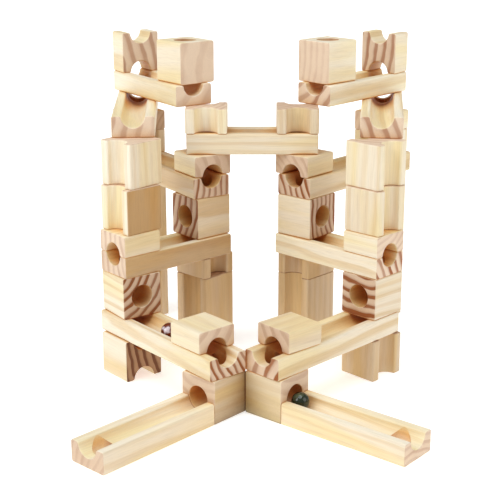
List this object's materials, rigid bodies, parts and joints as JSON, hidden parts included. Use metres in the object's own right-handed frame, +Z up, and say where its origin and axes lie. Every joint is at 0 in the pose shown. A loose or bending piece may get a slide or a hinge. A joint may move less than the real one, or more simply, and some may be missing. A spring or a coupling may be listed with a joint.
{
  "type": "marble run",
  "caption": "Wooden marble run stacked from cubes, grooved rails and notched blocks: two mirrored towers joined by a bridge, with rolling glass marbles.",
  "frame": {"origin": "on the table, under the middle of the whole object's footprint", "axes": "+X to the right tower, +Y from the exit rails to the rear stacks, +Z up"},
  "size_m": [0.3136, 0.4128, 0.304],
  "materials": {
    "pine": "fine sanded, unvarnished, edges eased",
    "amber_glass": "polished",
    "green_glass": "polished"
  },
  "bodies": {
    "stack": {"bridge_rail": "pine", "left_base_cube": "pine", "left_bridge_block": "pine", "left_column_1": "pine", "left_column_2": "pine", "left_foot_block": "pine", "left_forward_rail": "pine", "left_inner_column": "pine", "left_inner_cube": "pine", "left_inner_half_block": "pine", "left_lower_rail": "pine", "left_middle_cover": "pine", "left_middle_rail": "pine", "left_outer_cube": "pine", "left_rear_column_1": "pine", "left_rear_column_2": "pine", "left_rear_flat_block": "pine", "left_rear_thin_block": "pine", "left_upper_cover": "pine", "left_upper_rail": "pine", "right_base_cube": "pine", "right_bridge_block": "pine", "right_column_1": "pine", "right_column_2": "pine", "right_foot_block": "pine", "right_forward_rail": "pine", "right_inner_column": "pine", "right_inner_cube": "pine", "right_inner_half_block": "pine", "right_lower_rail": "pine", "right_middle_cover": "pine", "right_middle_rail": "pine", "right_outer_cube": "pine", "right_rear_column_1": "pine", "right_rear_column_2": "pine", "right_rear_flat_block": "pine", "right_rear_thin_block": "pine", "right_upper_cover": "pine", "right_upper_rail": "pine"},
    "amber_marble": {"amber_marble": "amber_glass"},
    "green_marble": {"green_marble": "green_glass"},
    "left_exit_rail_body": {"left_exit_rail": "pine"},
    "left_lower_cover_body": {"left_lower_cover": "pine"},
    "left_top_rail_body": {"left_top_rail": "pine"},
    "left_top_cube_body": {"left_top_cube": "pine"},
    "left_top_block_body": {"left_top_block": "pine"},
    "right_exit_rail_body": {"right_exit_rail": "pine"},
    "right_lower_cover_body": {"right_lower_cover": "pine"},
    "right_top_rail_body": {"right_top_rail": "pine"},
    "right_top_cube_body": {"right_top_cube": "pine"},
    "right_top_block_body": {"right_top_block": "pine"}
  },
  "joints": [
    {"name": "amber_marble_roll", "type": "slide", "parent": "stack", "child": "amber_marble", "axis": [-0.6428, 0.766, 0], "range_m": [-0.053, 0.034]},
    {"name": "green_marble_roll", "type": "slide", "parent": "right_exit_rail_body", "child": "green_marble", "axis": [0.7716, -0.6361, 0], "range_m": [-0.018, 0.088]},
    {"name": "left_exit_rail_pull", "type": "slide", "parent": "stack", "child": "left_exit_rail_body", "axis": [-0.6756, -0.7373, 0], "range_m": [0, 0.08]},
    {"name": "left_lower_cover_lift", "type": "slide", "parent": "stack", "child": "left_lower_cover_body", "axis": [0, 0, 1], "range_m": [0, 0.06]},
    {"name": "left_top_rail_lift", "type": "slide", "parent": "stack", "child": "left_top_rail_body", "axis": [0, 0, 1], "range_m": [0, 0.06]},
    {"name": "left_top_cube_lift", "type": "slide", "parent": "left_top_rail_body", "child": "left_top_cube_body", "axis": [0, 0, 1], "range_m": [0, 0.06]},
    {"name": "left_top_block_lift", "type": "slide", "parent": "left_top_rail_body", "child": "left_top_block_body", "axis": [0, 0, 1], "range_m": [0, 0.06]},
    {"name": "right_exit_rail_pull", "type": "slide", "parent": "stack", "child": "right_exit_rail_body", "axis": [0.7716, -0.6361, 0], "range_m": [0, 0.08]},
    {"name": "right_lower_cover_lift", "type": "slide", "parent": "stack", "child": "right_lower_cover_body", "axis": [0, 0, 1], "range_m": [0, 0.06]},
    {"name": "right_top_rail_lift", "type": "slide", "parent": "stack", "child": "right_top_rail_body", "axis": [0, 0, 1], "range_m": [0, 0.06]},
    {"name": "right_top_cube_lift", "type": "slide", "parent": "right_top_rail_body", "child": "right_top_cube_body", "axis": [0, 0, 1], "range_m": [0, 0.06]},
    {"name": "right_top_block_lift", "type": "slide", "parent": "right_top_rail_body", "child": "right_top_block_body", "axis": [0, 0, 1], "range_m": [0, 0.06]}
  ]
}
